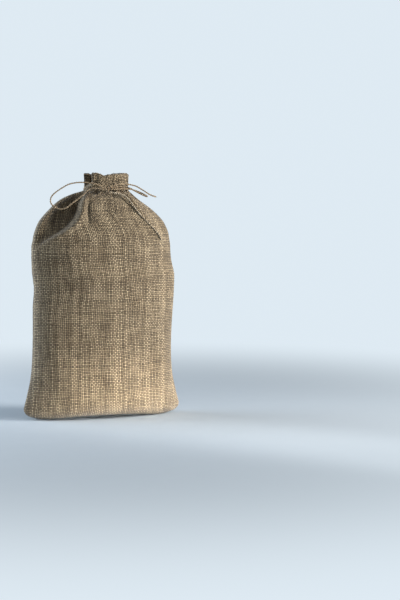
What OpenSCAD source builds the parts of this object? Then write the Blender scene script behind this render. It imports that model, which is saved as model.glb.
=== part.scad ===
// Drawstring gift pouch of coarse jute cloth, filled and tied shut with a twine bow.
// Millimetres, +Z up, front faces -Y. The origin is the middle of the base on the table.

/* [Pouch] */
// Height from the table to the top of the frill
pouch_h = 326; // [300:1:350]
// Width of the filled body
body_w = 192; // [184:1:200]
// Width over the two bottom corners
corner_w = 214; // [208:1:220]
// Depth of the filled body, front to back
body_d = 72; // [68:1:76]
// Thickness of the jute cloth
cloth_t = 1.4; // [1:0.1:1.8]

/* [Neck] */
// Width of the gathered neck at the drawcord
neck_w = 63; // [60:1:66]
// Depth of the gathered neck at the drawcord
neck_d = 42; // [40:1:44]
// How far the neck leans to the right of the body's middle
neck_lean = 6; // [4:0.5:8]
// Thickness of the bunched folds in the neck wall
gather_t = 4; // [3:0.5:5]
// Height of the drawcord above the table
cord_z = 304; // [302:1:306]

/* [Drawcord] */
// Diameter of the jute twine
cord_d = 1.8; // [1.6:0.1:2]
// Radius of the bow's knot
knot_r = 4; // [3.5:0.1:4.2]

/* [Stitching] */
// Diameter of the sewing thread
thread_d = 1; // [0.8:0.1:1.2]
// Length of one visible stitch
stitch_len = 3.5; // [2.5:0.5:4]
// Number of stitches in each half row round the neck
stitch_count = 13; // [9:1:15]

/* [Hidden] */

jute = "#a48f68";
jute_shade = "#948260";
twine = "#b39a6c";
sewing = "#c9b98e";

// The panels stop this far from the middle plane, and the seam thread fills the gap.
seam_gap = thread_d / 2;
// Height of the shoulder, where the panels end and the gathering begins.
shoulder_z = 259;
// The casing stands this far above the panels, so that the neck can nod back.
tilt_gap = 6;
// Inside the base, the cloth's corners are tucked in to this share of its width.
base_share = 0.92;
// The bottom seam is sewn over this share of the width over the corners, just off the table.
bottom_seam_share = 0.71;
table_gap = 0.2;
// The drawcord and the stitches stand this far off the cloth.
cord_clear = 0.3;
stitch_clear = 0.7;
// Sampled steps across a half wall, and rows between two outline points.
wall_steps = 24;
rows_per_span = 2;
cord_sides = 8;
rings_per_span = 2;

half_w = body_w / 2;
half_c = corner_w / 2;
half_d = body_d / 2;
neck_a = neck_w / 2;
neck_b = neck_d / 2;

// Outline of the filled body, bottom to shoulder:
// [height, half width, half depth, sideways lean, pinch of the side edges]
body_outline = [
    [0, 0.80 * half_c, 0.62 * half_d, 0, 1.5],
    [4, 0.95 * half_c, 0.84 * half_d, 0, 1.5],
    [13, half_c, 0.94 * half_d, 0, 1.5],
    [30, 0.965 * half_c, 0.99 * half_d, 0, 1.3],
    [60, 1.02 * half_w, half_d, 0, 1.15],
    [110, 0.98 * half_w, half_d, 0, 1],
    [170, 0.99 * half_w, 0.99 * half_d, 0, 1],
    [222, half_w, 0.96 * half_d, 0.05 * neck_lean, 1],
    [243, 0.975 * half_w, 0.92 * half_d, 0.1 * neck_lean, 1],
    [shoulder_z, 0.885 * half_w, 0.87 * half_d, 0.25 * neck_lean, 1],
];

// Outline of the casing, from just above the panels to the top of the frill.
casing_outline = [
    [shoulder_z + tilt_gap, 0.83 * half_w, 0.85 * half_d, 0.35 * neck_lean, 1],
    [cord_z - 26, 0.68 * half_w, 0.79 * half_d, 0.6 * neck_lean, 1],
    [cord_z - 13, 0.50 * half_w, 0.69 * half_d, 0.85 * neck_lean, 1],
    [cord_z - 4, 1.10 * neck_a, 1.08 * neck_b, neck_lean, 1],
    [cord_z, neck_a, neck_b, neck_lean, 1],
    [cord_z + 5, 1.02 * neck_a, 1.05 * neck_b, neck_lean, 1],
    [cord_z + 13, 1.04 * neck_a, 1.12 * neck_b, neck_lean, 1],
    [pouch_h, 1.05 * neck_a, 1.16 * neck_b, neck_lean, 1],
];

// Rows of stitches: just over the drawcord, and under the frill's edge.
casing_stitch_z = cord_z + 7;
hem_stitch_z = pouch_h - 4;

// The bow's knot sits in front of the drawcord.
knot_at = [2, -27, 304];

// Cord routes, each from the knot outwards.
left_loop_route = [
    [-3, -27, 305], [-7, -26.5, 307.5], [-14, -26, 310.5], [-22, -25, 312], [-30.5, -24, 312.5],
    [-39, -24, 312], [-48.5, -24, 310], [-57, -24, 305.5], [-66, -23.5, 299.5], [-71, -22, 294],
    [-72, -20, 288], [-69.5, -19, 283], [-64.5, -19.5, 279.5], [-57.5, -21, 278],
    [-51, -22.5, 280], [-45.5, -24, 284.5], [-38, -25, 290], [-31, -26, 295.5],
    [-25.5, -27, 300.5], [-20.5, -27.5, 304], [-12.5, -28.5, 305], [-3, -29, 303],
];
right_loop_route = [
    [7, -27, 303.5], [15, -26, 303.5], [24, -23, 304], [33, -19.5, 303.5], [41, -17.5, 302],
    [48, -16, 299.5], [54, -14.5, 297], [59, -12, 294.5], [60.5, -8.5, 293.5],
    [57.5, -5.5, 294.5], [50, -6, 298], [43, -8, 301.5], [36, -13, 304.5], [28, -18, 306],
    [18, -23, 306.5], [7, -25.3, 305.5],
];
short_tail_route = [
    [6, -29, 307], [14, -28, 309.5], [23, -25.5, 310.5], [33, -22, 309.5], [42, -20, 307.5],
    [48, -19, 304.5], [54, -18.5, 301], [59.5, -18, 297.5], [65, -17, 295], [71, -16, 293],
];
long_tail_route = [
    [5, -28, 300], [11, -27, 299], [18, -26, 298], [25, -25, 295.5], [31, -25, 290.5],
    [36.5, -25.5, 283.5], [41.5, -26.5, 276.5], [47, -26.5, 270], [53, -26.5, 264],
    [60, -26, 257], [67, -25, 250], [73, -24, 242.5], [76.5, -23, 236],
];

// Smooth curve through a list of points, at s from 0 to the last index.
function spline(p, s) =
    let (
        i = min(floor(s), len(p) - 2), t = s - i,
        a = p[max(i - 1, 0)], b = p[i], c = p[i + 1], d = p[min(i + 2, len(p) - 1)]
    )
    (2 * b + (c - a) * t + (2 * a - 5 * b + 4 * c - d) * t * t
        + (3 * b - a - 3 * c + d) * t * t * t) / 2;

function sampled(p, per_span) =
    [for (k = [0 : (len(p) - 1) * per_span]) spline(p, k / per_span)];

// A point on a half wall: turn 0 is the left edge, 90 the middle, 180 the right edge.
function wall_point(o, turn, inset) = [
    o[3] - (o[1] - inset) * cos(turn),
    -seam_gap - (o[2] - inset - seam_gap) * pow(sin(turn), o[4]),
    o[0],
];

function wall_row(o, inset) =
    [for (k = [0 : wall_steps]) wall_point(o, 180 * k / wall_steps, inset)];

// The base row lies along the bottom seam, at the given height.
function base_row(o, inset, z) =
    [for (p = wall_row(o, inset)) [base_share * p[0], -seam_gap, z]];

function raised(row, low) = [for (p = row) [p[0], p[1], max(p[2], low)]];

function flat(lists) = [for (l = lists) each l];

// Two triangles across four corners, cut from the first corner to the third.
function quad(a, b, c, d) = [[a, b, c], [a, c, d]];

// Faces of a closed shell made of an outer grid and an inner grid of the same size.
// The cuts change side at the middle column, so that the two ends mirror each other.
function shell_faces(rows, cols) =
    let (n = rows * cols, last = cols - 1, top = (rows - 1) * cols)
    concat(
        [for (r = [0 : rows - 2], c = [0 : cols - 2])
            let (a = r * cols + c, b = a + cols)
            each (c < last / 2)
                ? concat(quad(a, b, b + 1, a + 1), quad(n + a, n + a + 1, n + b + 1, n + b))
                : concat(quad(b, b + 1, a + 1, a), quad(n + a + 1, n + b + 1, n + b, n + a))],
        [for (r = [0 : rows - 2])
            let (a = r * cols, b = a + cols)
            each concat(quad(a, n + a, n + b, b), quad(a + last, b + last, n + b + last, n + a + last))],
        [for (c = [0 : cols - 2])
            each concat(
                quad(c, c + 1, n + c + 1, n + c),
                quad(top + c, n + top + c, n + top + c + 1, top + c + 1)
            )]
    );

module shell(outer, inner) {
    polyhedron(
        points = concat(flat(outer), flat(inner)),
        faces = shell_faces(len(outer), len(outer[0])),
        convexity = 6
    );
}

// Half of the filled body: a wall of cloth that turns in under itself to the bottom seam.
module half_body() {
    rows = sampled(body_outline, rows_per_span);
    shell(
        concat([base_row(rows[0], 0, 0)], [for (o = rows) wall_row(o, 0)]),
        concat(
            [base_row(rows[0], cloth_t, cloth_t)],
            [for (o = rows) raised(wall_row(o, cloth_t), cloth_t)]
        )
    );
}

// Half of the gathered neck and frill, with its bunched folds as one thick wall.
module half_casing() {
    rows = sampled(casing_outline, rows_per_span);
    shell(
        [for (o = rows) wall_row(o, 0)],
        [for (o = rows) wall_row(o, gather_t)]
    );
}

function unit(v) = v / norm(v);

// Ring of a swept tube, square to the curve. The side vector leans on a fixed reference.
function ring(at, along, side_ref, radius, sides) =
    let (side = unit(cross(along, side_ref)), up = cross(side, along))
    [for (k = [0 : sides - 1])
        at + radius * (cos(360 * k / sides) * side + sin(360 * k / sides) * up)];

function tangent(p, i, closed) =
    let (n = len(p))
    unit(closed
        ? p[(i + 1) % n] - p[(i + n - 1) % n]
        : p[min(i + 1, n - 1)] - p[max(i - 1, 0)]);

function tube_points(p, side_ref, radius, sides, closed) = [
    for (i = [0 : len(p) - 1])
        each ring(p[i], tangent(p, i, closed), side_ref, radius, sides)
];

function tube_faces(rings, sides, closed) = concat(
    [for (i = [0 : rings - (closed ? 1 : 2)], k = [0 : sides - 1])
        let (
            j = (i + 1) % rings, m = (k + 1) % sides,
            a = i * sides + k, b = i * sides + m, c = j * sides + m, d = j * sides + k
        )
        each [[a, c, b], [a, d, c]]],
    closed ? [] : [
        [for (k = [0 : sides - 1]) k],
        [for (k = [sides - 1 : -1 : 0]) (rings - 1) * sides + k],
    ]
);

// Tube swept along points, open with flat ends or closed into a ring.
module tube(p, side_ref, diameter, sides, closed = false) {
    polyhedron(
        points = tube_points(p, side_ref, diameter / 2, sides, closed),
        faces = tube_faces(len(p), sides, closed),
        convexity = 4
    );
}

module cord(route) {
    tube(sampled(route, rings_per_span), [0, 1, 0], cord_d, cord_sides);
}

module front_panel() {
    color(jute) half_body();
}

module back_panel() {
    color(jute_shade) mirror([0, 1, 0]) half_body();
}

module front_casing() {
    color(jute) half_casing();
}

module back_casing() {
    color(jute_shade) mirror([0, 1, 0]) half_casing();
}

// Thread of one side seam, held between the edges of the two panels. side is -1 or 1.
module side_seam(side) {
    rows = sampled(body_outline, rows_per_span);
    color(sewing)
        tube(
            [for (k = [2 : len(rows) - 1])
                [rows[k][3] + side * (rows[k][1] - cloth_t / 2), 0, rows[k][0]]],
            [0, 1, 0], thread_d, 6
        );
}

module left_seam_thread() {
    side_seam(-1);
}

module right_seam_thread() {
    side_seam(1);
}

module bottom_seam_thread() {
    seam_len = bottom_seam_share * corner_w;
    color(sewing)
        translate([-seam_len / 2, 0, table_gap + thread_d / 2])
            rotate([0, 90, 0])
                cylinder(d = thread_d, h = seam_len, $fn = 24);
}

// Half row of stitches on the front of the neck, at one height, standing just off the cloth.
module stitch_row(z, a, b) {
    for (k = [1 : stitch_count]) {
        turn = 180 * k / (stitch_count + 1);
        heading = atan2(b * cos(turn), a * sin(turn));
        translate([neck_lean - (a + stitch_clear) * cos(turn), -(b + stitch_clear) * sin(turn), z])
            rotate([0, 0, -heading])
                rotate([0, 90, 0])
                    cylinder(d = thread_d, h = stitch_len, center = true, $fn = 16);
    }
}

module casing_stitches() {
    color(sewing)
        stitch_row(casing_stitch_z, 1.035 * neck_a, 1.09 * neck_b);
}

module hem_stitches() {
    color(sewing)
        stitch_row(hem_stitch_z, 1.055 * neck_a, 1.165 * neck_b);
}

module front_casing_stitches() {
    casing_stitches();
}

module back_casing_stitches() {
    mirror([0, 1, 0]) casing_stitches();
}

module front_hem_stitches() {
    hem_stitches();
}

module back_hem_stitches() {
    mirror([0, 1, 0]) hem_stitches();
}

// The drawcord lies round the neck in the gathered channel.
module drawcord() {
    steps = 32;
    out = cord_clear + cord_d / 2;
    color(twine)
        tube(
            [for (k = [0 : steps - 1]) let (turn = 360 * k / steps) [
                neck_lean - (neck_a + out) * cos(turn),
                -(neck_b + out) * sin(turn),
                cord_z,
            ]],
            [0, 0, 1], cord_d, cord_sides, closed = true
        );
}

module bow_knot() {
    color(twine)
        translate(knot_at) sphere(r = knot_r, $fn = 48);
}

module left_loop() {
    color(twine) cord(left_loop_route);
}

module right_loop() {
    color(twine) cord(right_loop_route);
}

module short_tail() {
    color(twine) cord(short_tail_route);
}

module long_tail() {
    color(twine) cord(long_tail_route);
}

front_panel();
back_panel();
front_casing();
back_casing();
left_seam_thread();
right_seam_thread();
bottom_seam_thread();
front_casing_stitches();
back_casing_stitches();
front_hem_stitches();
back_hem_stitches();
drawcord();
bow_knot();
left_loop();
right_loop();
short_tail();
long_tail();
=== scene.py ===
# Drawstring gift pouch: two panels of coarse jute cloth, sewn at the sides and the bottom, filled,
# gathered at the neck by a jute twine and tied shut in a bow at the front. All sizes are metres.

import math

import bpy
import numpy as np
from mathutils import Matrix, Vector


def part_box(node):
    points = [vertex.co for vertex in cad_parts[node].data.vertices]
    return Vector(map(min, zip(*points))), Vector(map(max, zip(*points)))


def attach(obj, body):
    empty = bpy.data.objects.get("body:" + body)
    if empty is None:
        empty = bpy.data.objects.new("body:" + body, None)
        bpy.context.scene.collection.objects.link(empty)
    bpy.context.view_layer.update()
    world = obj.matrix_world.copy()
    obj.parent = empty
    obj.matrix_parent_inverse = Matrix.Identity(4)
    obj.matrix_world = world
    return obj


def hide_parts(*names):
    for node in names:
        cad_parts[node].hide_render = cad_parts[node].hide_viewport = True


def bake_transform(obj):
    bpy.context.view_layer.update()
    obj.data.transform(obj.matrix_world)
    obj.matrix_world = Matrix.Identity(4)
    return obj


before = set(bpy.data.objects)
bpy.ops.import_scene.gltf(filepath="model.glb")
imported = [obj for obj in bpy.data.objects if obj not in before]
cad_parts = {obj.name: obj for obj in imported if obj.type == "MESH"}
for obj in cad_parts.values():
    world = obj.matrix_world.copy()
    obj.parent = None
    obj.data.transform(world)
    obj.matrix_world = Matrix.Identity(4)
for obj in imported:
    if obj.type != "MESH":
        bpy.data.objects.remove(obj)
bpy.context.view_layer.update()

# ---------------------------------------------------------------- camera
# The pouch is seen from its left front, from just above the table, through a long lens.
# It stands left of the middle of the view, so the camera looks past its right side.
view_turn = math.radians(-17)
view_rise = math.radians(5)
view_away = 1.9
field_height = 0.8
look_aside = 0.131
look_up = 0.156

toward_camera = Vector((
    math.sin(view_turn) * math.cos(view_rise),
    -math.cos(view_turn) * math.cos(view_rise),
    math.sin(view_rise),
))
to_the_right = Vector((math.cos(view_turn), math.sin(view_turn), 0))
look_at = Vector((0, 0, look_up)) + look_aside * to_the_right
camera = bpy.data.objects.new("camera", bpy.data.cameras.new("camera"))
camera.data.sensor_width = 36
camera.data.lens = camera.data.sensor_width * view_away / field_height
camera.location = look_at + view_away * toward_camera
camera.rotation_mode = "QUATERNION"
camera.rotation_quaternion = toward_camera.to_track_quat("Z", "Y")
bpy.context.scene.collection.objects.link(camera)
bpy.context.scene.camera = camera
bpy.context.scene.view_settings.view_transform = "Standard"

# ---------------------------------------------------------------- left loop of the bow
# One end of the drawcord, bent back on itself into a wide loop that droops over the shoulder.
# It is two-ply jute twine: two hairy strands laid round each other.
twine_d = 0.0018
ply_radius = 0.31 * twine_d
ply_offset = 0.25 * twine_d
twine_lay = 0.0062
path_step = 0.0006
hairs_per_metre = 700
hair_reach = 0.0015
frayed_fibres = 26
frayed_from = 0.0034
left_loop_route = [
    (-3, -27, 305), (-7, -26.5, 307.5), (-14, -26, 310.5), (-22, -25, 312), (-30.5, -24, 312.5),
    (-39, -24, 312), (-48.5, -24, 310), (-57, -24, 305.5), (-66, -23.5, 299.5), (-71, -22, 294),
    (-72, -20, 288), (-69.5, -19, 283), (-64.5, -19.5, 279.5), (-57.5, -21, 278),
    (-51, -22.5, 280), (-45.5, -24, 284.5), (-38, -25, 290), (-31, -26, 295.5),
    (-25.5, -27, 300.5), (-20.5, -27.5, 304), (-12.5, -28.5, 305), (-3, -29, 303),
]


def curve_through(points, gap):
    """Smooth curve through points, sampled about every gap."""
    p = np.asarray(points, float)
    p = np.vstack([2 * p[0] - p[1], p, 2 * p[-1] - p[-2]])
    out = []
    for a, b, c, d in zip(p, p[1:], p[2:], p[3:]):
        steps = max(2, int(np.linalg.norm(c - b) / gap))
        for t in np.arange(steps) / steps:
            out.append(0.5 * (2 * b + (c - a) * t + (2 * a - 5 * b + 4 * c - d) * t**2
                              + (3 * b - a - 3 * c + d) * t**3))
    return np.array(out + [p[-2]])


def route_in_metres(route):
    return [[value / 1000 for value in point] for point in route]


def length_of(path):
    return float(np.linalg.norm(np.diff(path, axis=0), axis=1).sum())


def carried_frames(path):
    """Two directions square to the path at each point, carried along without twisting."""
    along = np.gradient(path, axis=0)
    along /= np.linalg.norm(along, axis=1)[:, None]
    start = np.cross(along[0], (0.31, 0.17, 0.93))
    sides = [start / np.linalg.norm(start)]
    for t in along[1:]:
        s = sides[-1] - t * sides[-1].dot(t)
        sides.append(s / np.linalg.norm(s))
    sides = np.array(sides)
    return sides, np.cross(along, sides)


def new_piece(name, points, faces, material, uv=None):
    mesh = bpy.data.meshes.new(name)
    mesh.from_pydata([tuple(p) for p in points], [], [tuple(f) for f in faces])
    if uv is not None:
        layer = mesh.uv_layers.new(name="weave")
        corner = np.empty(len(mesh.loops), int)
        mesh.loops.foreach_get("vertex_index", corner)
        layer.data.foreach_set("uv", np.asarray(uv)[corner].ravel())
    mesh.polygons.foreach_set("use_smooth", [True] * len(mesh.polygons))
    mesh.materials.append(material)
    piece = bpy.data.objects.new(name, mesh)
    bpy.context.scene.collection.objects.link(piece)
    return piece


def tube_grid(rings, first, closed=False):
    """Points and faces of a tube made of rings of points, numbered from first."""
    count, sides = len(rings), len(rings[0])
    faces = []
    for i in range(count if closed else count - 1):
        j = (i + 1) % count
        for k in range(sides):
            m = (k + 1) % sides
            faces.append((first + i * sides + k, first + i * sides + m,
                          first + j * sides + m, first + j * sides + k))
    if not closed:
        faces.append(tuple(first + k for k in reversed(range(sides))))
        faces.append(tuple(first + (count - 1) * sides + k for k in range(sides)))
    return [p for ring in rings for p in ring], faces


def round_tube(path, radius, sides):
    """Rings round a path. radius is one number, or one for each point."""
    side, up = carried_frames(path)
    radius = np.broadcast_to(radius, len(path))
    turns = 2 * math.pi * np.arange(sides) / sides
    return [
        path[i] + radius[i] * (np.cos(turns)[:, None] * side[i] + np.sin(turns)[:, None] * up[i])
        for i in range(len(path))
    ]


def hairs_on(path, per_metre, reach, rng):
    """Stray jute fibres: short, thin, curved and tapered, standing out of the twine."""
    points, faces = [], []
    side, up = carried_frames(path)
    for _ in range(int(per_metre * length_of(path))):
        i = rng.integers(2, len(path) - 3)
        angle = rng.uniform(0, 2 * math.pi)
        out = math.cos(angle) * side[i] + math.sin(angle) * up[i]
        along = (path[i + 1] - path[i]) / np.linalg.norm(path[i + 1] - path[i])
        lean = rng.uniform(-1, 1)
        far = reach * rng.uniform(0.4, 1)
        t = np.linspace(0, 1, 4)[:, None]
        hair = (path[i] + out * (0.35 * twine_d + far * t) + along * lean * far * t**2
                + rng.normal(0, 0.12 * far, 3) * t**2)
        p, f = tube_grid(round_tube(hair, 0.00007 * (1.1 - t[:, 0]), 3), len(points))
        points += p
        faces += f
    return points, faces


def twine(name, path, material, seed, closed=False, frayed=False):
    """Two-ply twine along a path, with stray fibres, and a frayed end if asked for."""
    rng = np.random.default_rng(seed)
    side, up = carried_frames(path)
    run = np.concatenate([[0], np.cumsum(np.linalg.norm(np.diff(path, axis=0), axis=1))])
    lay = run[-1] / max(1, round(run[-1] / twine_lay))
    wobble = np.interp(run, np.linspace(0, run[-1], 24), rng.normal(0, 0.07, 24))
    points, faces = [], []
    for ply in (0, math.pi):
        turn = 2 * math.pi * run / lay + ply + seed
        middle = path + ply_offset * (np.cos(turn)[:, None] * side + np.sin(turn)[:, None] * up)
        thickness = ply_radius * (1 + wobble + 0.06 * np.sin(9 * turn / 2 + ply))
        if frayed:
            thickness = thickness * np.clip((run[-1] - run) / 0.004 + 0.35, 0, 1)
        p, f = tube_grid(round_tube(middle, thickness, 8), len(points), closed)
        points += p
        faces += f
    p, f = hairs_on(path, hairs_per_metre, hair_reach, rng)
    faces += [tuple(i + len(points) for i in face) for face in f]
    points += p
    if frayed:
        end, along = path[-1], path[-1] - path[-4]
        along = along / np.linalg.norm(along)
        for _ in range(frayed_fibres):
            spread = rng.normal(0, 0.3, 3).clip(-0.5, 0.5)
            t = np.linspace(0, 1, 5)[:, None]
            far = rng.uniform(0.002, 0.0042)
            fibre = end - frayed_from * along + far * (along * 1.15 * t + spread * t**1.6)
            p, f = tube_grid(round_tube(fibre, 0.00013 * (1.15 - t[:, 0]), 4), len(points))
            points += p
            faces += f
    return new_piece(name, points, faces, material)


class Wiring:
    """Short words for building a material's nodes."""

    def __init__(self, name):
        self.material = bpy.data.materials.new(name)
        self.material.use_nodes = True
        self.tree = self.material.node_tree
        self.tree.nodes.clear()

    def node(self, kind, inputs=(), **settings):
        made = self.tree.nodes.new(kind)
        for key, value in settings.items():
            setattr(made, key, value)
        for key, value in dict(inputs).items():
            if isinstance(value, bpy.types.NodeSocket):
                self.tree.links.new(value, made.inputs[key])
            elif value is not None:
                made.inputs[key].default_value = value
        return made

    def math(self, what, a, b=None, c=None):
        return self.node("ShaderNodeMath", {0: a, 1: b, 2: c}, operation=what).outputs[0]

    def noise(self, where, scale, detail=2.0, rough=0.5):
        made = self.node("ShaderNodeTexNoise",
                         {"Vector": where, "Scale": scale, "Detail": detail, "Roughness": rough})
        return made.outputs["Fac"]

    def mix(self, share, a, b):
        made = self.node("ShaderNodeMix", {0: share, 6: a, 7: b}, data_type="RGBA")
        return made.outputs[2]

    def ramp(self, value, low, high):
        made = self.node("ShaderNodeMapRange",
                         {"Value": value, "From Min": low, "From Max": high},
                         interpolation_type="SMOOTHSTEP")
        return made.outputs["Result"]

    def cloth_shader(self, colour, height, height_scale, roughness, sheen):
        bump = self.node("ShaderNodeBump",
                         {"Height": height, "Distance": height_scale, "Strength": 1.0})
        shader = self.node("ShaderNodeBsdfPrincipled", {
            "Base Color": colour, "Normal": bump.outputs[0], "Roughness": roughness,
            "Sheen Weight": sheen, "Sheen Roughness": 0.6,
            "Sheen Tint": (0.95, 0.93, 0.90, 1), "Specular IOR Level": 0.15,
        })
        self.node("ShaderNodeOutputMaterial", {"Surface": shader.outputs[0]})
        return self.material


def twine_material(name, browner, paler):
    """Jute twine: tan fibre streaks, browner in the grooves, matt, with a pale fuzz."""
    w = Wiring(name)
    place = w.node("ShaderNodeTexCoord").outputs["Object"]
    streak = w.noise(place, 900, 3, 0.6)
    patch = w.noise(place, 90, 2)
    tan = w.mix(patch, browner, paler)
    colour = w.mix(w.ramp(streak, 0.35, 0.7), (0.20, 0.13, 0.068, 1), tan)
    return w.cloth_shader(colour, streak, 0.0003, 0.9, 0.35)


jute_twine = twine_material("jute_twine", (0.42, 0.30, 0.165, 1), (0.62, 0.475, 0.30, 1))
left_loop_path = curve_through(route_in_metres(left_loop_route), path_step)
left_loop = twine("left_loop_twine", left_loop_path, jute_twine, 11)
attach(left_loop, "left_bow")
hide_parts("left_loop")

# ---------------------------------------------------------------- right loop and short tail of the bow
# The other loop is narrow and nearly closed, and a short frayed tail lies over it.
# Both leave the knot towards the right and stand out from the neck, as stiff twine does.
right_loop_route = [
    (7, -27, 303.5), (15, -26, 303.5), (24, -23, 304), (33, -19.5, 303.5), (41, -17.5, 302),
    (48, -16, 299.5), (54, -14.5, 297), (59, -12, 294.5), (60.5, -8.5, 293.5),
    (57.5, -5.5, 294.5), (50, -6, 298), (43, -8, 301.5), (36, -13, 304.5), (28, -18, 306),
    (18, -23, 306.5), (7, -25.3, 305.5),
]
short_tail_route = [
    (6, -29, 307), (14, -28, 309.5), (23, -25.5, 310.5), (33, -22, 309.5), (42, -20, 307.5),
    (48, -19, 304.5), (54, -18.5, 301), (59.5, -18, 297.5), (65, -17, 295), (71, -16, 293),
]
right_loop_path = curve_through(route_in_metres(right_loop_route), path_step)
right_loop = twine("right_loop_twine", right_loop_path, jute_twine, 12)
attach(right_loop, "right_bow")
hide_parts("right_loop")

short_tail_path = curve_through(route_in_metres(short_tail_route), path_step)
short_tail = twine("short_tail_twine", short_tail_path, jute_twine, 13, frayed=True)
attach(short_tail, "right_bow")
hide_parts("short_tail")

# ---------------------------------------------------------------- long tail of the bow
# The drawcord's other end hangs from the knot and lies down the right shoulder. It is the same
# twine painted paler, as painted light where the main light falls on it, and its end frays.
long_tail_route = [
    (5, -28, 300), (11, -27, 299), (18, -26, 298), (25, -25, 295.5), (31, -25, 290.5),
    (36.5, -25.5, 283.5), (41.5, -26.5, 276.5), (47, -26.5, 270), (53, -26.5, 264),
    (60, -26, 257), (67, -25, 250), (73, -24, 242.5), (76.5, -23, 236),
]
# Painted light: the tail's twine gets paler colours than the rest of the twine, to stand in for the
# light falling on it.
painted_lit_twine = twine_material("painted_lit_jute_twine", (0.66, 0.55, 0.385, 1), (0.90, 0.79, 0.60, 1))
long_tail_path = curve_through(route_in_metres(long_tail_route), path_step)
long_tail = twine("long_tail_twine", long_tail_path, painted_lit_twine, 14, frayed=True)
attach(long_tail, "tail")
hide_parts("long_tail")

# ---------------------------------------------------------------- drawcord and knot
# The drawcord runs round the neck in the groove that it pulls into the cloth.
# The knot is its two halves crossed and pulled tight in front.
ring_low, ring_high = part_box("drawcord")
cord_height = (ring_low[2] + ring_high[2]) / 2
lean = (ring_low[0] + ring_high[0]) / 2 + 0.001
neck_half = 0.93 * ((ring_high[0] - ring_low[0]) / 2 - twine_d)
neck_depth = (ring_high[1] - ring_low[1]) / 2 - twine_d
knot_low, knot_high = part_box("bow_knot")
knot_middle = np.array([(a + b) / 2 for a, b in zip(knot_low, knot_high)])
knot_radius = (knot_high[0] - knot_low[0]) / 2

turns = np.linspace(0, 2 * math.pi, 361)[:-1]
ring_path = np.stack([
    lean - (neck_half + 0.0003) * np.cos(turns),
    -(neck_depth + 0.0006) * np.sin(turns),
    cord_height + 0.0006 * np.sin(3 * turns + 0.4) + 0.0004 * np.sin(7 * turns),
], axis=1)
drawcord = twine("drawcord_twine", ring_path, jute_twine, 15, closed=True)
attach(drawcord, "neck")
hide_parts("drawcord")

knot_turns = np.linspace(0, 2 * math.pi, 241)[:-1]
knot_path = knot_middle + np.stack([
    (np.sin(knot_turns) + 2 * np.sin(2 * knot_turns)) * 0.33 * (knot_radius - twine_d / 2),
    np.sin(3 * knot_turns) * 0.62 * (knot_radius - twine_d / 2),
    (np.cos(knot_turns) - 2 * np.cos(2 * knot_turns)) * 0.31 * (knot_radius - twine_d / 2),
], axis=1)
knot = twine("bow_knot_twine", knot_path, jute_twine, 16, closed=True)
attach(knot, "neck")
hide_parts("bow_knot")

# ---------------------------------------------------------------- jute cloth, front and back
# Each half of the pouch is one piece of coarse jute cloth from the bottom seam up to the frill,
# where it turns over into a deep hem. The drawcord pulls the neck into uneven pleats, and the
# front falls into a deep tuck at its left shoulder.
panel_low, panel_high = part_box("front_panel")
corner_half = panel_high[0]
body_half = 0.897 * corner_half
depth_half = -panel_low[1]
pouch_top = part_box("front_casing")[1][2]
cloth_thick = 0.0011
hem_radius = 0.0013
hem_deep = 0.028
cut_width = 0.215
yarn_gap = 0.0023
across_count = 180
row_gap = 0.0016

# Height, half width, half depth, place of the middle, and pinch of the side edges, bottom to top.
# The left shoulder is fuller than the right one, and the frill is squarer than the neck.
cloth_outline = np.array([
    (0.0012, 0.80 * corner_half, 0, 0, 1.4),
    (0.0004, 0.82 * corner_half, 0.38 * depth_half, 0, 1.5),
    (0.0010, 0.85 * corner_half, 0.70 * depth_half, 0, 1.5),
    (0.0050, 0.955 * corner_half, 0.91 * depth_half, 0, 1.5),
    (0.0130, corner_half, 1.04 * depth_half, 0, 1.45),
    (0.026, 0.97 * corner_half, 1.08 * depth_half, 0, 1.32),
    (0.060, 1.005 * body_half, 1.04 * depth_half, 0, 1.15),
    (0.110, 0.975 * body_half, 0.98 * depth_half, 0, 1.02),
    (0.170, 0.975 * body_half, 0.96 * depth_half, 0, 1),
    (0.222, 0.985 * body_half, 0.95 * depth_half, 0.0002, 1),
    (0.237, 0.968 * body_half, 0.94 * depth_half, 0.0005, 1),
    (0.248, 0.943 * body_half, 0.90 * depth_half, 0.0006, 1),
    (0.262, 0.870 * body_half, 0.86 * depth_half, 0, 1),
    (0.276, 0.730 * body_half, 0.79 * depth_half, -0.001, 1),
    (0.289, 0.560 * body_half, 0.70 * depth_half, -0.0025, 1),
    (0.2965, 0.430 * body_half, 0.65 * depth_half, 0.0010, 1),
    (0.3010, 1.05 * neck_half, 1.03 * neck_depth, lean - 0.0005, 1),
    (cord_height, 0.99 * neck_half, 0.98 * neck_depth, lean, 0.95),
    (cord_height + 0.005, 0.99 * neck_half, 0.97 * neck_depth, lean, 0.8),
    (cord_height + 0.012, 0.99 * neck_half, 0.88 * neck_depth, lean, 0.66),
    (pouch_top - 0.002, neck_half, 0.86 * neck_depth, lean, 0.62),
])


def eased(value):
    t = np.clip(value, 0, 1)
    return t * t * (3 - 2 * t)


def outline_rows():
    """The outline sampled about every row_gap, measured down the middle of the cloth."""
    fine = curve_rows(cloth_outline, 40)
    step = np.linalg.norm(np.diff(fine[:, :3], axis=0) * (1, 0.6, 1), axis=1)
    run = np.concatenate([[0], np.cumsum(step)])
    count = int(run[-1] / row_gap) + 1
    at = np.linspace(0, run[-1], count)
    return at, np.stack([np.interp(at, run, fine[:, k]) for k in range(fine.shape[1])], axis=1)


def curve_rows(p, per_span):
    p = np.vstack([2 * p[0] - p[1], p, 2 * p[-1] - p[-2]])
    t = (np.arange(per_span) / per_span)[:, None]
    out = [0.5 * (2 * b + (c - a) * t + (2 * a - 5 * b + 4 * c - d) * t**2
                  + (3 * b - a - 3 * c + d) * t**3)
           for a, b, c, d in zip(p, p[1:], p[2:], p[3:])]
    return np.vstack(out + [p[-2:-1]])


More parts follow.
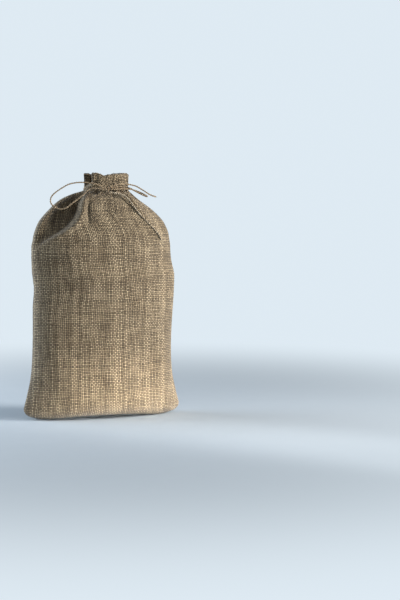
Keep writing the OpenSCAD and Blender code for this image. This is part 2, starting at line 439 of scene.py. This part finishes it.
def turns_by_length(half_width, half_depth, first, last):
    """Angles round a half wall, spaced evenly along the cloth."""
    fine = np.linspace(first, last, 600)
    x, y = -half_width * np.cos(fine), -max(half_depth, 0.004) * np.sin(fine)
    run = np.concatenate([[0], np.cumsum(np.hypot(np.diff(x), np.diff(y)))])
    return np.interp(np.linspace(0, run[-1], across_count + 1), run, fine)


def follow(z, path):
    """A pleat's sideways place and strength at each height, from (height, place, strength)."""
    heights, places, strengths = np.array(path).T
    return np.interp(z, heights, places), np.interp(z, heights, strengths)


def pleat(x, z, path, width, sharp):
    place, strength = follow(z, path)
    away = np.abs(x - place) / width
    return strength * np.exp(-(away ** (1.15 if sharp else 2)))


# Front pleats: (height, sideways place, how far the cloth stands out there). All in metres.
front_creases = [
    ([(0.254, -0.0232, 0), (0.262, -0.0232, -0.0020), (0.278, -0.0238, -0.0036),
      (0.290, -0.0222, -0.0020), (0.304, -0.0185, -0.0010), (0.326, -0.0165, 0)], 0.0020, True),
    ([(0.278, 0.0400, 0), (0.285, 0.0325, -0.0018), (0.294, 0.0250, -0.0032),
      (0.304, 0.0190, -0.0030), (0.326, 0.0170, -0.0006)], 0.0030, True),
    ([(0.250, 0.002, 0), (0.280, 0.001, -0.0018), (0.304, 0.001, -0.0026),
      (0.326, 0.003, -0.0004)], 0.0080, False),
    ([(0.276, -0.011, 0), (0.292, -0.0112, -0.0010), (0.304, -0.0108, -0.0024),
      (0.326, -0.009, -0.0008)], 0.0024, True),
    ([(0.280, 0.012, 0), (0.294, 0.0112, -0.0014), (0.304, 0.0108, -0.0026),
      (0.326, 0.0115, -0.0006)], 0.0022, True),
    ([(0.268, 0.058, 0), (0.279, 0.050, -0.0016), (0.292, 0.0385, -0.0028),
      (0.304, 0.0310, -0.0022), (0.326, 0.0300, -0.0006)], 0.0024, True),
]
front_ridges = [
    ([(0.258, 0.064, 0), (0.270, 0.0520, 0.0018), (0.283, 0.0400, 0.0036),
      (0.296, 0.0290, 0.0034), (0.304, 0.0245, 0.0004)], 0.0050, False),
    ([(0.232, -0.080, 0), (0.2416, -0.0660, 0.0022), (0.2480, -0.0540, 0.0034),
      (0.2560, -0.0430, 0.0040), (0.2650, -0.0360, 0.0042), (0.2736, -0.0320, 0.0040),
      (0.2850, -0.0300, 0.0034), (0.2930, -0.0265, 0.0024), (0.3010, -0.0205, 0.0008),
      (0.306, -0.019, 0)], 0.0065, False),
    ([(0.224, 0.0780, 0), (0.2355, 0.0765, 0.0020), (0.2425, 0.0730, 0.0021), (0.257, 0.0600, 0.0017),
      (0.270, 0.0470, 0.0015), (0.2765, 0.0415, 0.0018), (0.2835, 0.0365, 0.0023),
      (0.2905, 0.0310, 0.0036), (0.296, 0.0250, 0.0040), (0.3005, 0.0180, 0.0016),
      (0.304, 0.0160, 0)], 0.0075, False),
]
# The tuck: at each height, where the cloth starts to lean back, where it drops, and how deep.
tuck_start = [(0.234, -0.0700), (0.2416, -0.0600), (0.2500, -0.0460), (0.2620, -0.0330),
              (0.2736, -0.0290), (0.2930, -0.0240), (0.3030, -0.0195)]
tuck_edge = [
    (0.222, -0.0900, 0), (0.230, -0.0860, 0.0010), (0.2360, -0.0800, 0.0034),
    (0.2416, -0.0700, 0.0056), (0.2480, -0.0600, 0.0096), (0.2560, -0.0505, 0.0145),
    (0.2650, -0.0440, 0.0200), (0.2736, -0.0405, 0.0245), (0.2850, -0.0375, 0.0235),
    (0.2930, -0.0305, 0.0150), (0.2990, -0.0245, 0.0040), (0.3040, -0.0215, 0),
]
# Deep pleats where the drawcord bunches the cloth: place across the cloth, depth, lowest height.
front_pleats = [(0.955, 0.008, 0.284)]
back_pleats = [
    (0.08, 0.008, 0.276), (0.21, 0.010, 0.262), (0.34, 0.009, 0.270), (0.47, 0.011, 0.256),
    (0.60, 0.009, 0.268), (0.73, 0.010, 0.260), (0.87, 0.009, 0.274),
]
pleat_half = 0.024
wave_high = 0.00042
pucker_high = 0.0006
# Above the drawcord, the front's left edge turns in: over this share of the width, this far back
# and this far to the right.
turned_share = 0.035
turned_back = 0.017
turned_right = 0.0054
# The left side dents in, and the right side bellies out, at these heights and this far.
dent_height = 0.172
dent_deep = 0.0022
belly_height = 0.185
belly_out = 0.0065


def evened(line):
    """The same line of cloth with its points spaced evenly."""
    run = np.concatenate([[0], np.cumsum(np.linalg.norm(np.diff(line, axis=0), axis=1))])
    at = np.linspace(0, run[-1], len(line))
    return np.stack([np.interp(at, run, line[:, k]) for k in range(3)], axis=1)


def front_shape(x, z, edge):
    """How far the front cloth stands out along its normal, and how far it is tucked in."""
    out = sum(pleat(x, z, *fold) for fold in front_creases + front_ridges)
    place, deep = follow(z, tuck_edge)
    share = np.clip((place - x) / np.maximum(place - edge, 0.004), 0, 1)
    start = np.interp(z, *np.array(tuck_start).T)
    leaning = np.clip((start - x) / np.maximum(start - place, 0.004), 0, 1) ** 2
    drop = 0.38 * leaning + 0.62 * eased(share / 0.18)
    hollow = deep * drop * (1 - eased((share - 0.45) / 0.55))
    return out, hollow, 0.5 * hollow * (1 - eased((share - 0.1) / 0.5))


def pleats(share, z, places):
    """How far the cloth is pulled in by deep pleats that fan out below the drawcord."""
    out = 0
    for place, deep, low in places:
        rise = eased((z - low) / (cord_height - low)) * (1 - 0.3 * eased((z - cord_height) / 0.02))
        near = np.clip(1 - np.abs(share - place) / (pleat_half * (1.6 - 0.6 * rise)), 0, 1)
        out = out - deep * rise * near ** 1.3
    return out


def waves(x, z, seed):
    """Slow hollows and swells of loosely filled cloth."""
    rng = np.random.default_rng(seed)
    out = 0
    for _ in range(14):
        kx, kz = rng.uniform(12, 95), rng.uniform(8, 60)
        phase = rng.uniform(0, 2 * math.pi, 2)
        out = out + rng.uniform(0.4, 1) * np.sin(kx * x + phase[0]) * np.sin(kz * z + phase[1])
    return wave_high * out


def gather(share, z, seed):
    """Fine puckers where the drawcord bunches the cloth."""
    rng = np.random.default_rng(seed)
    phase = 2 * math.pi * 11 * share + 1.6 * np.sin(2 * math.pi * share * 3 + seed)
    phase = phase + rng.uniform(0, 6)
    near = (np.exp(-((z - cord_height) / 0.0065) ** 2)
            + 0.22 * np.exp(-((z - cord_height) / 0.02) ** 2))
    return pucker_high * near * (1 - 2 * np.abs(np.sin(phase / 2)) ** 0.8)


def top_edge(x):
    """Extra height of the frill's uneven top edge."""
    places = [-0.018, -0.012, -0.007, 0.001, 0.008, 0.020, 0.031, 0.035, 0.038]
    heights = [-0.0010, 0, -0.0008, -0.0044, -0.0030, -0.0020, -0.0012, -0.0018, -0.0044]
    return np.interp(x, places, heights) + 0.0003 * np.sin(x / 0.0009)


def cloth_half(side):
    """Grid of the cloth's outer face, and its cut coordinates. side is -1 front, 1 back."""
    front = side < 0
    run, rows = outline_rows()
    points = np.empty((len(rows), across_count + 1, 3))
    share = np.linspace(0, 1, across_count + 1)
    for r, (z, half_width, half_depth, shift, pinch) in enumerate(rows):
        open_side = eased((z - cord_height - 0.001) / 0.008)
        first = math.radians(34 if front else 12) * open_side
        last = math.pi - math.radians(9 if front else 4) * open_side
        turn = turns_by_length(half_width, half_depth, first, last)
        points[r, :, 0] = shift - half_width * np.cos(turn)
        points[r, :, 1] = side * half_depth * np.abs(np.sin(turn)) ** pinch
        points[r, :, 2] = z
    x, z = points[..., 0].copy(), points[..., 2].copy()
    down = np.gradient(points, axis=0)
    over = np.gradient(points, axis=1)
    normal = np.cross(over, down) * (1 if front else -1)
    normal /= np.maximum(np.linalg.norm(normal, axis=2), 1e-9)[..., None]
    above = eased((z - cord_height) / 0.01)
    near_seam = np.minimum(share, 1 - share)[None, :]
    # The sewn sides sink into a narrow groove.
    groove = np.exp(-near_seam * cut_width / 0.0024) * (1 - eased((z - 0.262) / 0.02))
    groove = groove * (0.0013 + 0.0004 * np.sin(z / 0.0021) * np.sin(z / 0.013))
    points[..., 0] += groove * np.where(share < 0.5, 1, -1)[None, :]
    hold = np.maximum(eased(near_seam / 0.05), above)
    edge = x[:, :1]
    out, hollow, under = front_shape(x, z, edge) if front else (0, 0 * x, 0 * x)
    out = out + gather(share[None, :], z, 3 if front else 8)
    out = out + pleats(share[None, :], z, front_pleats if front else back_pleats)
    out = out + waves(x, z, 21 if front else 22) * eased(z / 0.03) * eased(near_seam / 0.12)
    out = np.where(z < cord_height, out, np.minimum(out, 0.004))
    points += normal * (out * hold)[..., None]
    points[..., 1] += -side * hollow * hold
    points[..., 0] += under * hold
    # Above the drawcord, the front's left edge turns in towards the back.
    turned = np.clip(1 - share / turned_share, 0, 1)[None, :] * eased((z - cord_height - 0.002) / 0.01)
    points[..., 1] += turned * (turned_back if front else 0)
    points[..., 0] += turned * (turned_right if front else 0)
    # The frill's edge rises and dips, and its ruffle leans out a little.
    lift = np.clip((z - cord_height) / (pouch_top - cord_height), 0, 1)
    back_edge = -0.0008 - 0.0044 * np.exp(-((x - 0.002) / 0.013) ** 2)
    points[..., 2] += lift * (top_edge(x) if front else back_edge)
    # The belly overhangs, so the base leaves the table between the corners.
    arch = 0.0042 * np.clip(1 - (x / 0.074) ** 2, 0, None) * (1 - eased(z / 0.035))
    points[..., 2] += arch
    # The left side dents in where the filling is loose.
    dent = dent_deep * np.exp(-((z - dent_height) / 0.016) ** 2) * eased((-x - 0.06) / 0.03)
    points[..., 0] += dent
    # The right side bellies out below the shoulder, where the filling has settled.
    belly = np.exp(-((z - belly_height) / np.where(z > belly_height, 0.020, 0.075)) ** 2)
    points[..., 0] += belly_out * belly * eased((x - 0.03) / 0.06)
    points[..., 2] = np.maximum(points[..., 2], cloth_thick * 0.2)
    points = np.array([evened(row) for row in points])
    normal = np.cross(np.gradient(points, axis=1), np.gradient(points, axis=0))
    normal *= 1 if front else -1
    normal /= np.maximum(np.linalg.norm(normal, axis=2), 1e-9)[..., None]
    return run, share, points, normal


def with_hem(run, points, normal):
    """The cloth turned over its top edge and down inside, as a hem."""
    top, inward = points[-1], -normal[-1] * np.array([1, 1, 0])
    inward = inward / np.linalg.norm(inward, axis=1)[:, None]
    fold = []
    for angle in np.linspace(0, math.pi, 7)[1:]:
        fold.append(top + inward * hem_radius * (1 - math.cos(angle))
                    + np.array([0, 0, 1]) * hem_radius * math.sin(angle))
    inner_rows = int(hem_deep / row_gap)
    inner = points[-2:-2 - inner_rows:-1] - normal[-2:-2 - inner_rows:-1] * 2 * hem_radius
    grid = np.concatenate([points, np.array(fold), inner])
    fold_run = run[-1] + math.pi * hem_radius * np.arange(1, 7) / 6
    inner_run = fold_run[-1] + row_gap * np.arange(1, inner_rows + 1)
    return np.concatenate([run, fold_run, inner_run]), grid


def weave_material(name, light, dark):
    """Plain-woven jute: thick and thin yarns over and under each other, with painted shade near black
    in the gaps and on the yarns' low flanks, and painted shade on the yarns that cross on top in every
    other cell.
    """
    w = Wiring(name)
    uv = w.node("ShaderNodeUVMap", uv_map="weave").outputs[0]
    wander = w.noise(uv, 15, 3)
    split = w.node("ShaderNodeSeparateXYZ", {0: uv})
    across = w.math("MULTIPLY_ADD", split.outputs[0], 1 / yarn_gap, 400.0)
    along = w.math("MULTIPLY_ADD", split.outputs[1], 1 / yarn_gap, 400.0)
    across = w.math("MULTIPLY_ADD", wander, 4.5, across)
    along = w.math("MULTIPLY_ADD", w.noise(uv, 12, 3), 4.5, along)
    yarn_x, yarn_y = w.math("FLOOR", across), w.math("FLOOR", along)
    off_x = w.math("ABSOLUTE", w.math("SUBTRACT", w.math("SUBTRACT", across, yarn_x), 0.5))
    off_y = w.math("ABSOLUTE", w.math("SUBTRACT", w.math("SUBTRACT", along, yarn_y), 0.5))
    parity = w.math("MODULO", w.math("ADD", yarn_x, yarn_y), 2.0)

    def yarn(number, place, off, uneven_by):
        """Height of a yarn across its width, and how thick and light it is just there."""
        own = w.node("ShaderNodeCombineXYZ", {0: number, 1: w.math("MULTIPLY", place, 0.09)})
        uneven = w.noise(own.outputs[0], 1.35, 2, 0.6)
        whole = w.node("ShaderNodeTexWhiteNoise", {"W": number}, noise_dimensions="1D")
        uneven = w.math("MULTIPLY_ADD", whole.outputs["Value"], uneven_by,
                        w.math("SUBTRACT", uneven, uneven_by / 2))
        half = w.math("MULTIPLY_ADD", uneven, 0.46, 0.14)
        spread = w.math("DIVIDE", off, half)
        round_top = w.math("SUBTRACT", 1.0, w.math("MULTIPLY", spread, spread))
        return w.math("SQRT", w.math("MAXIMUM", round_top, 0.0)), uneven

    warp, warp_own = yarn(yarn_x, along, off_x, 0.33)
    weft, weft_own = yarn(w.math("ADD", yarn_y, 77.0), across, off_y, 0.24)
    crest_y = w.math("COSINE", w.math("MULTIPLY", off_y, math.pi))
    crest_x = w.math("COSINE", w.math("MULTIPLY", off_x, math.pi))
    warp_over = w.math("MULTIPLY", warp, w.math("MULTIPLY_ADD", crest_y, 0.6, 0.4))
    weft_over = w.math("MULTIPLY", weft, w.math("MULTIPLY_ADD", crest_x, 0.6, 0.4))
    warp_under = w.math("MULTIPLY", warp, w.math("MULTIPLY_ADD", crest_y, -0.4, 0.42))
    weft_under = w.math("MULTIPLY", weft, w.math("MULTIPLY_ADD", crest_x, -0.4, 0.42))
    even = w.math("MAXIMUM", warp_over, weft_under)
    odd = w.math("MAXIMUM", weft_over, warp_under)
    flip = w.math("SUBTRACT", 1.0, parity)
    height = w.math("ADD", w.math("MULTIPLY", even, flip), w.math("MULTIPLY", odd, parity))
    own = w.math("ADD", w.math("MULTIPLY", warp_own, flip), w.math("MULTIPLY", weft_own, parity))
    hairs = w.noise(w.node("ShaderNodeCombineXYZ", {0: across, 1: along}).outputs[0], 5.5, 3, 0.7)
    patch = w.noise(uv, 34, 3, 0.6)
    tone = w.math("ADD", w.math("MULTIPLY", own, 0.6), w.math("MULTIPLY", patch, 0.4))
    yarn_colour = w.mix(w.ramp(tone, 0.34, 0.66), dark, light)
    # Painted shade: in every other cell, where the crossing yarn lies on top, the colour is pulled
    # towards dark. This stands in for the side light that catches those floats less than the others.
    yarn_colour = w.mix(w.math("MULTIPLY", parity, 0.58), yarn_colour, dark)
    yarn_colour = w.mix(w.ramp(hairs, 0.3, 0.75), w.mix(0.45, yarn_colour, dark), yarn_colour)
    # Painted shade: where the yarns sink low, in the gaps and on their flanks, the colour goes near
    # black.
    colour = w.mix(w.ramp(height, 0.10, 0.85), (0.020, 0.013, 0.007, 1), yarn_colour)
    rough_height = w.math("MULTIPLY_ADD", hairs, 0.22, height)
    return w.cloth_shader(colour, rough_height, 0.0007, 0.92, 0.30)


jute_cloth = weave_material("jute_cloth", (0.76, 0.595, 0.375, 1), (0.27, 0.190, 0.102, 1))


def cloth_piece(name, side):
    run, share, points, normal = cloth_half(side)
    run, grid = with_hem(run, points, normal)
    rows, columns = grid.shape[:2]
    number = np.arange(rows * columns).reshape(rows, columns)
    faces = np.stack([number[:-1, :-1], number[:-1, 1:], number[1:, 1:], number[1:, :-1]], axis=-1)
    if side > 0:
        faces = faces[..., ::-1]
    width = np.linalg.norm(np.diff(grid, axis=1), axis=2).sum(axis=1)
    uv = np.stack(np.broadcast_arrays((share - 0.5) * width[:, None], run[:, None]), axis=-1)
    piece = new_piece(name, grid.reshape(-1, 3), faces.reshape(-1, 4), jute_cloth, uv.reshape(-1, 2))
    thick = piece.modifiers.new("thickness", "SOLIDIFY")
    thick.thickness = cloth_thick
    thick.offset = -1
    bpy.context.view_layer.update()
    solid = bpy.data.meshes.new_from_object(piece.evaluated_get(bpy.context.evaluated_depsgraph_get()))
    piece.modifiers.clear()
    piece.data = solid
    return piece, points, normal


front_cloth, front_points, front_normal = cloth_piece("front_cloth", -1)
back_cloth, back_points, back_normal = cloth_piece("back_cloth", 1)
for cloth, half in ((front_cloth, "front"), (back_cloth, "back")):
    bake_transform(cloth)
    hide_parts(half + "_panel", half + "_casing")

# ---------------------------------------------------------------- loose fibres
# Jute is hairy: short ends of fibre stand out of the yarns all over both halves. They are left
# out close to the long tail, so that none of them pokes through it when the neck tips.
fibres_each = 700
fibre_shortest = 0.0012
fibre_longest = 0.0034
tail_clearance = 0.007
for half, points, normal, seed in (("front", front_points, front_normal, 31),
                                   ("back", back_points, back_normal, 32)):
    rng = np.random.default_rng(seed)
    hair_points, hair_faces = [], []
    for _ in range(fibres_each):
        r, c = rng.integers(4, points.shape[0] - 2), rng.integers(1, points.shape[1] - 1)
        if np.linalg.norm(long_tail_path - points[r, c], axis=1).min() < tail_clearance:
            continue
        side = points[r, min(c + 1, points.shape[1] - 1)] - points[r, c - 1]
        side = side / np.linalg.norm(side)
        far = rng.uniform(fibre_shortest, fibre_longest)
        t = np.linspace(0, 1, 4)[:, None]
        lift = rng.uniform(0.25, 0.9)
        heading = rng.uniform(-1, 1) * side + rng.uniform(-1, 1) * np.array([0, 0, 1])
        hair = points[r, c] + far * (lift * normal[r, c] * t + heading * t**1.4)
        hair[:, 2] = np.maximum(hair[:, 2], 0.0006)
        p, f = tube_grid(round_tube(hair, 0.00006 * (1.2 - t[:, 0]), 3), len(hair_points))
        hair_points += p
        hair_faces += f
    fibres = new_piece(half + "_cloth_fibres", hair_points, hair_faces, jute_twine)
    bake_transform(fibres)

# ---------------------------------------------------------------- seams and stitches
# The two halves are sewn together along the sides and the bottom with beige cotton thread.
# Round the neck, one row of running stitches holds the hem and one makes the drawcord's channel.
sewing_d = 0.0006
stitch_length = 0.0035
stitch_gap = 0.0022
seam_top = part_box("left_seam_thread")[1][2]
stitch_rows = {
    name: sum(height[2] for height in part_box("front_" + name)) / 2
    for name in ("casing_stitches", "hem_stitches")
}


def thread_material():
    """Beige cotton thread, matt, with its own faint twist."""
    w = Wiring("cotton_thread")
    place = w.node("ShaderNodeTexCoord").outputs["Object"]
    twist = w.noise(place, 1400, 2)
    colour = w.mix(twist, (0.20, 0.14, 0.08, 1), (0.42, 0.33, 0.21, 1))
    return w.cloth_shader(colour, twist, 0.0001, 0.8, 0.2)


cotton_thread = thread_material()


def stitched(name, stitches):
    """One piece made of many short lengths of thread."""
    points, faces = [], []
    for path in stitches:
        p, f = tube_grid(round_tube(np.asarray(path), sewing_d / 2, 6), len(points))
        points += p
        faces += f
    piece = new_piece(name, points, faces, cotton_thread)
    return piece


def spaced(path, gap):
    """The same line with points evenly spaced about gap apart."""
    run = np.concatenate([[0], np.cumsum(np.linalg.norm(np.diff(path, axis=0), axis=1))])
    at = np.linspace(0, run[-1], max(3, int(run[-1] / gap)))
    return np.stack([np.interp(at, run, path[:, k]) for k in range(3)], axis=1)


def seam_crossings(line, across, outward):
    """Short stitches that cross a seam, leaning one way and then the other."""
    made = []
    for k, (a, b) in enumerate(zip(line[:-1], line[1:])):
        start, end = (a - across, b + across) if k % 2 else (a + across, b - across)
        made.append([start, (start + end) / 2 + outward, end])
    return made


def row_on(points, normal, height):
    """Line on the cloth's outer face at one height."""
    line = []
    for c in range(2, points.shape[1] - 2):
        r = int(np.argmin(np.abs(points[:, c, 2] - height)))
        line.append(points[r, c] + normal[r, c] * 0.3 * sewing_d)
    return np.array(line)


def running_stitches(line):
    fine = spaced(line, 0.0005)
    each, every = int(stitch_length / 0.0005), int((stitch_length + stitch_gap) / 0.0005)
    made = []
    for first in range(2, len(fine) - each, every):
        part = fine[first:first + each + 1]
        sunk = 1 - np.abs(np.linspace(-1, 1, len(part))) ** 4
        middle = part.mean(axis=0) * (1, 1, 0) - np.array([lean, 0, 0])
        away = middle / np.linalg.norm(middle)
        made.append(part + away * (sunk[:, None] - 0.6) * 0.7 * sewing_d)
    return made


for side, name in ((0, "left_seam_thread"), (-1, "right_seam_thread")):
    edge = front_points[:, side]
    edge = edge[(edge[:, 2] > 0.004) & (edge[:, 2] < seam_top)]
    outward = np.array([0.0003 if side else -0.0003, 0, 0])
    seam = stitched(name.replace("thread", "stitching"),
                    seam_crossings(spaced(edge, 0.0028), np.array([0, 0.0011, 0]), outward))
    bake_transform(seam)
    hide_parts(name)

base_line = front_points[0, 12:-12].copy()
base_line[:, 2] = front_points[0, 12:-12, 2] + 0.0004
bottom_seam = stitched("bottom_seam_stitching", seam_crossings(
    spaced(base_line, 0.0030), np.array([0, 0.0013, 0]), np.array([0, 0, -0.0001])))
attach(bottom_seam, "bag")
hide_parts("bottom_seam_thread")

for half, points, normal in (("front", front_points, front_normal), ("back", back_points, back_normal)):
    for row, height in stitch_rows.items():
        stitches = stitched(half + "_" + row + "_thread",
                            running_stitches(row_on(points, normal, height)))
        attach(stitches, "neck")
        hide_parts(half + "_" + row)

# ---------------------------------------------------------------- table and light
# A pale blue-white table that fades into an even pale surround. The main light is soft, from the
# right, above and in front. A small light near the table lifts the foot of the cloth, and a cool
# light from the left and behind lights the edges.
surround_colour = (0.735, 0.825, 0.895, 1)
table_radius = 1.2
fade_from = 0.10
fade_to = 0.90


def table_material():
    """Smooth pale table top near the pouch, the colour of the surround further away."""
    w = Wiring("pale_table")
    place = w.node("ShaderNodeTexCoord").outputs["Object"]
    from_middle = w.node("ShaderNodeVectorMath", {0: place}, operation="LENGTH").outputs["Value"]
    speckle = w.noise(place, 40, 2)
    colour = w.mix(speckle, (0.45, 0.505, 0.55, 1), (0.47, 0.525, 0.57, 1))
    near = w.node("ShaderNodeBsdfPrincipled", {"Base Color": colour, "Roughness": 0.85,
                                               "Specular IOR Level": 0.08})
    far = w.node("ShaderNodeEmission", {"Color": surround_colour, "Strength": 1.0})
    both = w.node("ShaderNodeMixShader", {0: w.ramp(from_middle, fade_from, fade_to),
                                          1: near.outputs[0], 2: far.outputs[0]})
    w.node("ShaderNodeOutputMaterial", {"Surface": both.outputs[0]})
    return w.material


around = 2 * math.pi * np.arange(96) / 96
table = new_piece("table", [(table_radius * math.cos(a), table_radius * math.sin(a), 0)
                            for a in around], [tuple(range(96))], table_material())


def area_light(name, place, aim, size, power, colour):
    light = bpy.data.objects.new(name, bpy.data.lights.new(name, "AREA"))
    light.data.shape = "DISK"
    light.data.size = size
    light.data.energy = power
    light.data.color = colour
    light.location = place
    light.rotation_mode = "QUATERNION"
    light.rotation_quaternion = (Vector(place) - Vector(aim)).to_track_quat("Z", "Y")
    bpy.context.scene.collection.objects.link(light)
    return light


key_light = area_light("key_light", (1.32, -0.66, 0.60), (0, 0, 0.05),
                       size=0.5, power=2.7, colour=(1.0, 0.98, 0.96))
key_light.data.spread = math.radians(42)
low_light = area_light("low_light", (0.62, -0.78, 0.05), (-0.03, 0, -0.07),
                       size=0.2, power=0.31, colour=(1.0, 0.98, 0.95))
low_light.data.spread = math.radians(14)
area_light("rim_light", (-0.9, 0.45, 0.40), (0, 0, 0.16),
           size=0.8, power=14, colour=(0.76, 0.87, 1.0))

world = bpy.data.worlds.new("soft_room")
world.use_nodes = True
room = world.node_tree
seen = room.nodes["Background"]
seen.inputs["Color"].default_value = surround_colour
glow = room.nodes.new("ShaderNodeBackground")
glow.inputs["Color"].default_value = (0.80, 0.88, 0.97, 1)
glow.inputs["Strength"].default_value = 0.25
ray = room.nodes.new("ShaderNodeLightPath")
choice = room.nodes.new("ShaderNodeMixShader")
room.links.new(ray.outputs["Is Camera Ray"], choice.inputs[0])
room.links.new(glow.outputs[0], choice.inputs[1])
room.links.new(seen.outputs[0], choice.inputs[2])
room.links.new(choice.outputs[0], room.nodes["World Output"].inputs[0])
bpy.context.scene.world = world
